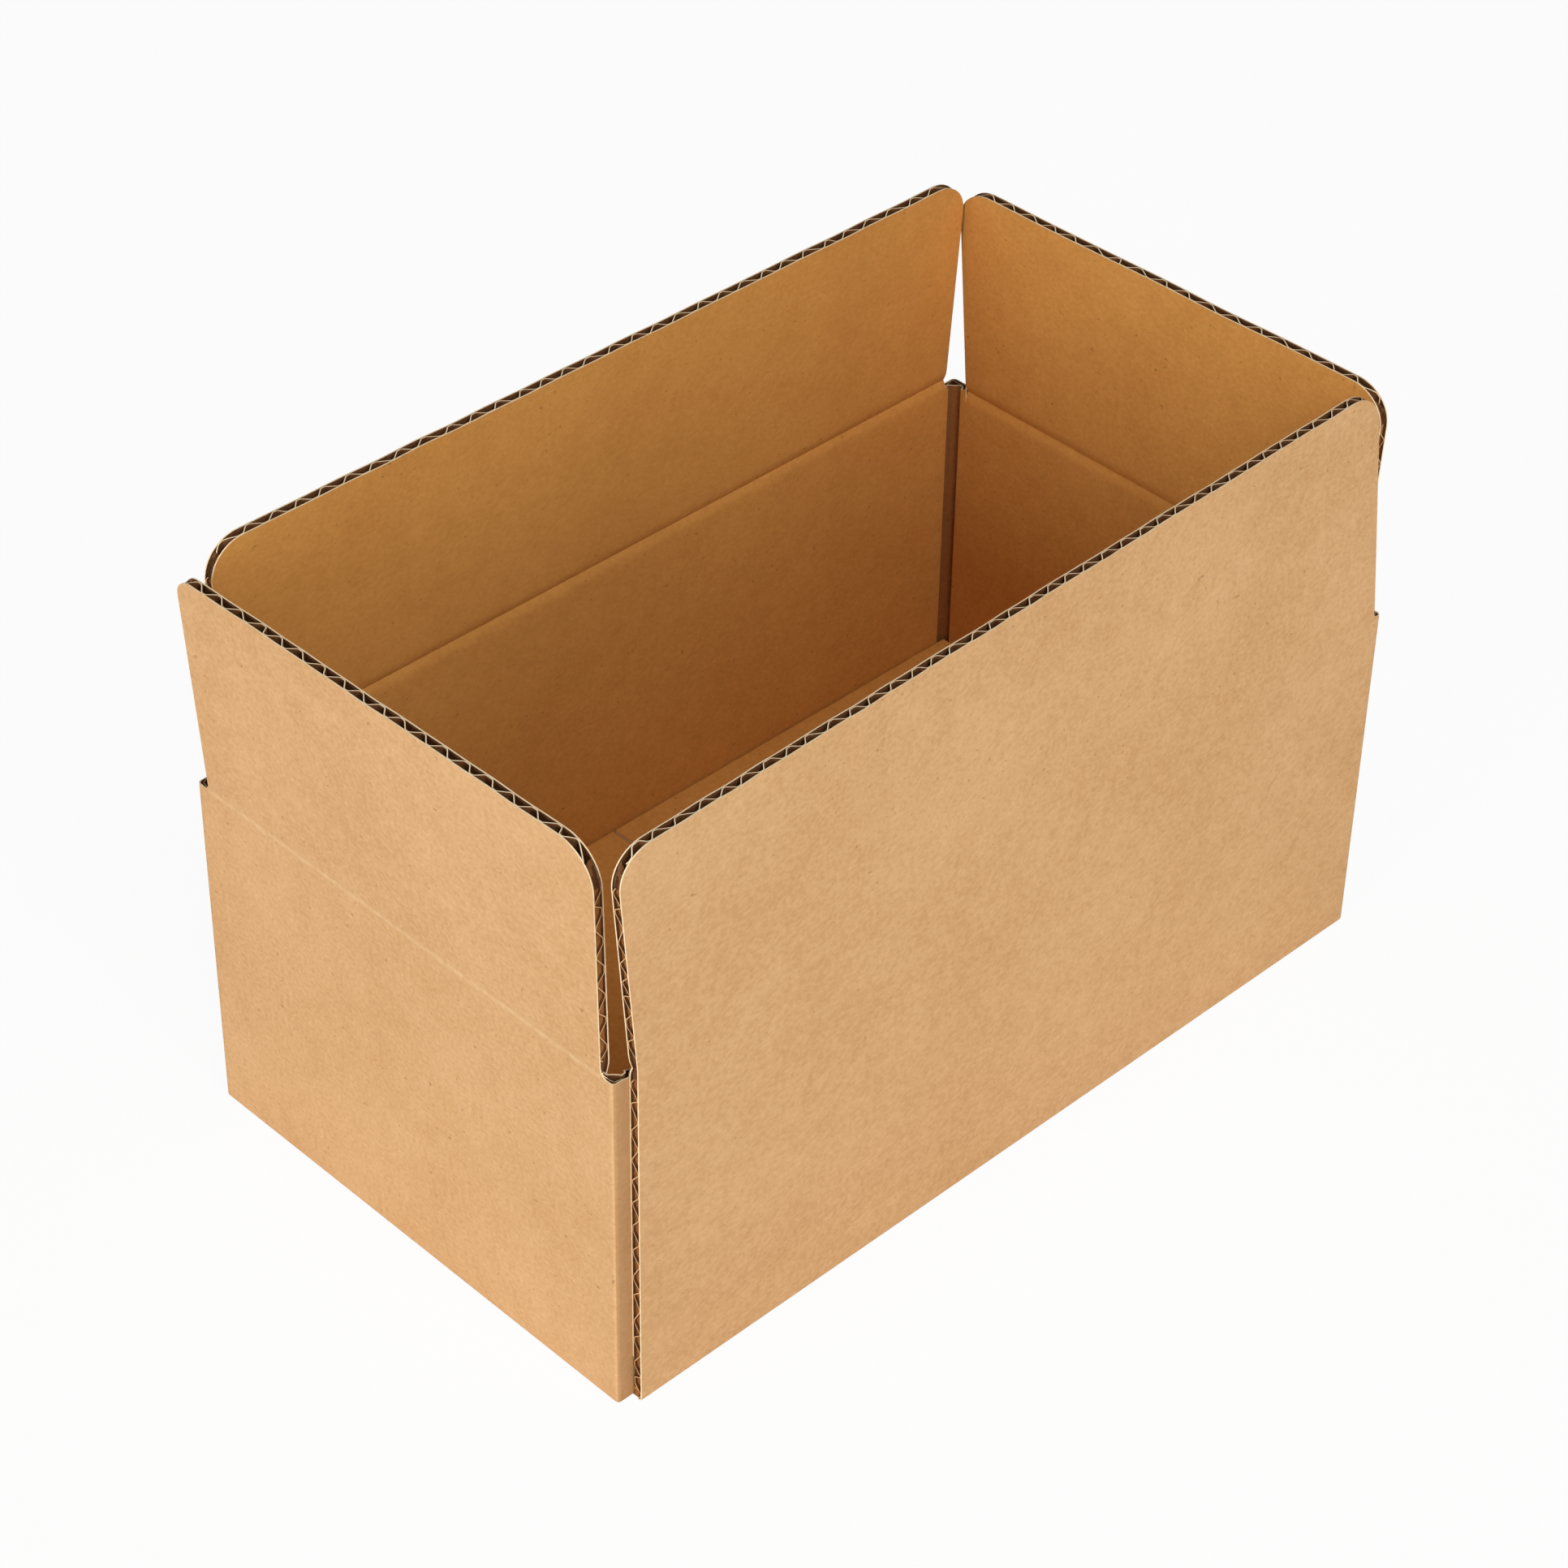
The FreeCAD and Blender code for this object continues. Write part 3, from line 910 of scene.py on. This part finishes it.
@dataclass(frozen=True)
class KraftFinish:
    """Unbleached kraft paper: a clouded tone with short fibres and a few dark flecks."""

    name: str
    deep: Colour
    pale: Colour
    fleck: Colour
    worn: Colour
    flecks: float
    grain: float
    roughness: float

    def make(self) -> bpy.types.Material:
        """Build the material on object coordinates.

        The tone is the sum of a slow cloud of about 60 mm, a mottle of about 6 mm and a grain under
        2 mm. Peaks of another noise give the flecks, and the grain and mottle also lift the
        surface. Above 0 the wear_and_shade attribute turns it patchily to the worn colour, for
        rubbed paper, and below 0 to that of the flecks, which is painted shade.

        Returns:
            The material.
        """
        material = bpy.data.materials.new(self.name)
        bench = NodeBench(material)
        shader = bench.own("BSDF_PRINCIPLED")
        here = bench.node("ShaderNodeTexCoord").outputs["Object"]
        drawn = bench.node("ShaderNodeMapping", Scale=(1.0, 1.0, 1.3))
        bench.link(here, drawn.inputs["Vector"])
        fibre = drawn.outputs["Vector"]
        cloud = bench.scaled(bench.noise(here, 17.0, 2.0), 0.3, 0.7, -0.16, 0.16)
        mottle = bench.scaled(bench.noise(here, 160.0, 3.0), 0.3, 0.7, -0.14, 0.14)
        grain_noise = bench.noise(fibre, 800.0, 4.0)
        grain = bench.scaled(grain_noise, 0.25, 0.75, 0.5 - self.grain, 0.5 + self.grain)
        tone = bench.combine("ADD", bench.combine("ADD", cloud, mottle), grain)
        paper = bench.mixed(tone, self.deep, self.pale)
        peaks = bench.noise(fibre, 620.0, 1.0)
        spots = bench.scaled(peaks, 0.735, 0.79, 0.0, self.flecks)
        coloured = bench.mixed(spots, paper, self.fleck)
        worn = bench.node("ShaderNodeAttribute", attribute_name="wear_and_shade").outputs["Fac"]
        patchy = bench.scaled(bench.noise(here, 300.0, 2.0), 0.35, 0.65, 0.1, 0.55)
        # Painted shade: values below 0 darken the paper towards the fleck colour.
        painted_shade_mix = bench.mixed(bench.scaled(worn, -1.0, 0.0, 1.0, 0.0), coloured, self.fleck)
        rubbed = bench.mixed(bench.combine("MULTIPLY", worn, patchy), painted_shade_mix, self.worn)
        bench.link(rubbed, shader.inputs["Base Color"])
        rough, smooth = self.roughness + 0.05, self.roughness - 0.05
        bench.link(bench.scaled(grain_noise, 0.3, 0.7, rough, smooth), shader.inputs["Roughness"])
        bump = bench.node("ShaderNodeBump", Strength=0.22, Distance=0.0003)
        lift = bench.combine("ADD", grain, mottle)
        bench.link(lift, bump.inputs["Height"])
        bench.link(bump.outputs["Normal"], shader.inputs["Normal"])
        shader.inputs["Specular IOR Level"].default_value = 0.25
        return material


@dataclass(frozen=True)
class Palette:
    """The finishes of the board's faces."""

    outside: bpy.types.Material
    inside: bpy.types.Material
    cut: bpy.types.Material
    flute: bpy.types.Material
    pressed: bpy.types.Material

    @staticmethod
    def mix() -> "Palette":
        """Make the five kraft finishes."""
        worn = linear(234, 200, 156)
        outside = KraftFinish("kraft_outside", linear(198, 150, 99), linear(222, 178, 128),
                              linear(146, 102, 60), worn, 0.55, 0.4, 0.86)
        inside = KraftFinish("kraft_inside", linear(201, 139, 67), linear(223, 162, 84),
                             linear(128, 82, 42), worn, 0.5, 0.36, 0.88)
        # The cut edges' pale tone is partly the paper's own and partly a painted highlight of light
        # falling on the top edges from above.
        cut = KraftFinish("kraft_cut_edge_and_painted_highlight", linear(252, 216, 168), linear(255, 238, 202),
                          linear(200, 150, 104), worn, 0.25, 0.35, 0.92)
        # The medium's dark tone is partly the paper's own and partly painted shade of the flute
        # hollows.
        flute = KraftFinish("kraft_medium_and_painted_shade", linear(92, 55, 26), linear(124, 80, 44),
                            linear(70, 42, 22), worn, 0.4, 0.4, 0.92)
        # This darker finish is partly crushed paper and partly painted shade: the inside corners'
        # grooves and the sheet in the flute hollows.
        pressed = KraftFinish("kraft_pressed_score_and_painted_shade", linear(140, 89, 44), linear(160, 105, 54),
                              linear(96, 58, 28), worn, 0.3, 0.35, 0.88)
        return Palette(outside.make(), inside.make(), cut.make(), flute.make(), pressed.make())

    def material(self, face: Face) -> bpy.types.Material:
        """The material of a face."""
        return (self.outside, self.inside, self.cut, self.flute, self.pressed)[face.value]


@dataclass(frozen=True)
class Studio:
    """A pale floor, soft light from the upper left and the photograph's camera."""

    position: tuple[float, float, float] = (-0.53117, -0.52767, 0.66041)
    azimuth: float = -44.8228
    elevation: float = 38.3679
    roll: float = 1.0118
    focal_pixels: float = 5101.7
    frame_pixels: float = 1932.0
    sensor: float = 36.0
    floor_half: float = 4.0
    floor_glow: float = 0.94
    surround: float = 0.06
    aim: tuple[float, float, float] = (0.0, 0.0, 0.06)

    def camera(self) -> None:
        """Place the camera.

        It looks along (-sin a cos e, cos a cos e, -sin e) for an azimuth a and an elevation e. Its
        right is that crossed with the upright, and the roll turns right and up about the view.
        """
        angles = (self.azimuth, self.elevation, self.roll)
        azimuth, elevation, roll = (math.radians(angle) for angle in angles)
        ahead = Vector((-math.sin(azimuth) * math.cos(elevation),
                        math.cos(azimuth) * math.cos(elevation), -math.sin(elevation)))
        right = ahead.cross(Vector((0, 0, 1))).normalized()
        up = right.cross(ahead)
        level, lift = math.cos(roll), math.sin(roll)
        turned = (right * level + up * lift, up * level - right * lift, -ahead)
        data = bpy.data.cameras.new("photo_camera")
        data.sensor_width = self.sensor
        data.lens = self.focal_pixels * self.sensor / self.frame_pixels
        data.clip_start = 0.01
        made = bpy.data.objects.new("photo_camera", data)
        made.matrix_world = Matrix.Translation(self.position) @ Matrix(turned).transposed().to_4x4()
        bpy.context.scene.collection.objects.link(made)
        bpy.context.scene.camera = made

    def floor(self) -> None:
        """A pale floor whose own colour, for the camera, is lifted towards the white backdrop."""
        material = bpy.data.materials.new("studio_floor")
        bench = NodeBench(material)
        shader = bench.own("BSDF_PRINCIPLED")
        shader.inputs["Base Color"].default_value = (0.9, 0.9, 0.9, 1)
        shader.inputs["Roughness"].default_value = 0.95
        shader.inputs["Specular IOR Level"].default_value = 0.0
        glow = bench.node("ShaderNodeEmission", Color=(1, 1, 1, 1), Strength=1.0)
        mix = bench.node("ShaderNodeMixShader")
        bench.link(bench.scaled(bench.seen(), 0.0, 1.0, 0.0, self.floor_glow), mix.inputs[0])
        bench.link(shader.outputs[0], mix.inputs[1])
        bench.link(glow.outputs[0], mix.inputs[2])
        bench.link(mix.outputs[0], bench.own("OUTPUT_MATERIAL").inputs["Surface"])
        half = self.floor_half
        mesh = bpy.data.meshes.new("studio_floor")
        mesh.from_pydata([(-half, -half, 0), (half, -half, 0), (half, half, 0), (-half, half, 0)],
                         [], [(0, 1, 2, 3)])
        mesh.materials.append(material)
        made = bpy.data.objects.new("studio_floor", mesh)
        bpy.context.scene.collection.objects.link(made)

    def world(self) -> None:
        """A white surround for the camera and for gloss, and plain soft light for the rest."""
        world = bpy.data.worlds.new("studio_world")
        bpy.context.scene.world = world
        bench = NodeBench(world)
        background = bench.own("BACKGROUND")
        background.inputs["Color"].default_value = (1, 1, 1, 1)
        strength = bench.scaled(bench.seen(), 0.0, 1.0, self.surround, 1.0)
        bench.link(strength, background.inputs["Strength"])

    def lamp(self, name: str, place: Vector, size: float, power: float) -> None:
        """A square soft lamp that faces the middle of the box.

        Args:
            name: The lamp's name.
            place: Where it hangs, in metres.
            size: Its side, in metres.
            power: In watts.
        """
        data = bpy.data.lights.new(name, "AREA")
        data.size = size
        data.energy = power
        made = bpy.data.objects.new(name, data)
        made.location = place
        made.rotation_euler = (Vector(self.aim) - place).to_track_quat("-Z", "Y").to_euler()
        bpy.context.scene.collection.objects.link(made)

    def build(self) -> None:
        """Set up the view, the floor and the light."""
        bpy.context.scene.view_settings.view_transform = "Standard"
        self.camera()
        self.floor()
        self.world()
        self.lamp("left_lamp", Vector((-2.25, 0.0, 0.48)), 1.2, 34.0)
        self.lamp("low_front_lamp", Vector((-0.38, -2.14, 0.75)), 1.4, 19.0)
        self.lamp("high_front_lamp", Vector((-0.5, -1.4, 1.75)), 1.2, 20.0)
        self.lamp("top_lamp", Vector((-0.2, -0.2, 2.3)), 1.4, 5.5)


@dataclass(frozen=True)
class CardboardBox:
    """The whole box: the body and its four flaps."""

    body: BoxBody
    flaps: tuple[Flap, ...]

    @staticmethod
    def as_photographed() -> "CardboardBox":
        """The box with each flap open at its own lean."""
        length, width = SIZES.half_length, SIZES.half_width
        flaps = (
            Flap(Wall.FRONT, 0.0, (0.75, -width, SIZES.long_crease), 232.7, 4.0,
                 (-1.0, 5.6), (9.0, 9.0), (5.8, -0.4), 0.0, 5.9, 11),
            Flap(Wall.BACK, 180.0, (0.0, width, SIZES.long_crease), 228.0, 1.2,
                 (2.4, 1.4), (9.0, 9.0), (1.5, 0.0), 0.0, 6.9, 12),
            Flap(Wall.LEFT, -90.0, (-length, 1.25, SIZES.end_crease), 127.7, -2.0,
                 (-2.6, -1.4), (5.0, 10.0), (1.4, 0.3), 0.06, 6.5, 13),
            Flap(Wall.RIGHT, 90.0, (length, 0.0, SIZES.end_crease), 125.2, 0.6,
                 (-0.9, 1.6), (9.0, 9.0), (1.5, 3.8), 0.06, 6.7, 14),
        )
        spans = {
            Wall.FRONT: (-115.6, 117.1),
            Wall.BACK: (-114.0, 114.0),
            Wall.LEFT: (-62.6, 65.1),
            Wall.RIGHT: (-62.6, 62.6),
        }
        return CardboardBox(BoxBody(spans), flaps)

    def dress(self, palette: Palette) -> list[bpy.types.Object]:
        """Make every piece of the box, body first."""
        pieces = self.body.dress(palette)
        for flap in self.flaps:
            pieces.extend(flap.dress(palette))
        return pieces


def main() -> None:
    """Build the box and its studio, and report each piece."""
    logging.basicConfig(level=logging.INFO, format="%(name)s: %(message)s")
    pieces = CardboardBox.as_photographed().dress(Palette.mix())
    for piece in pieces:
        piece.data.calc_loop_triangles()
        LOG.info("%s: %d triangles", piece.name, len(piece.data.loop_triangles))
    Studio().build()


if __name__ == "__main__":
    main()
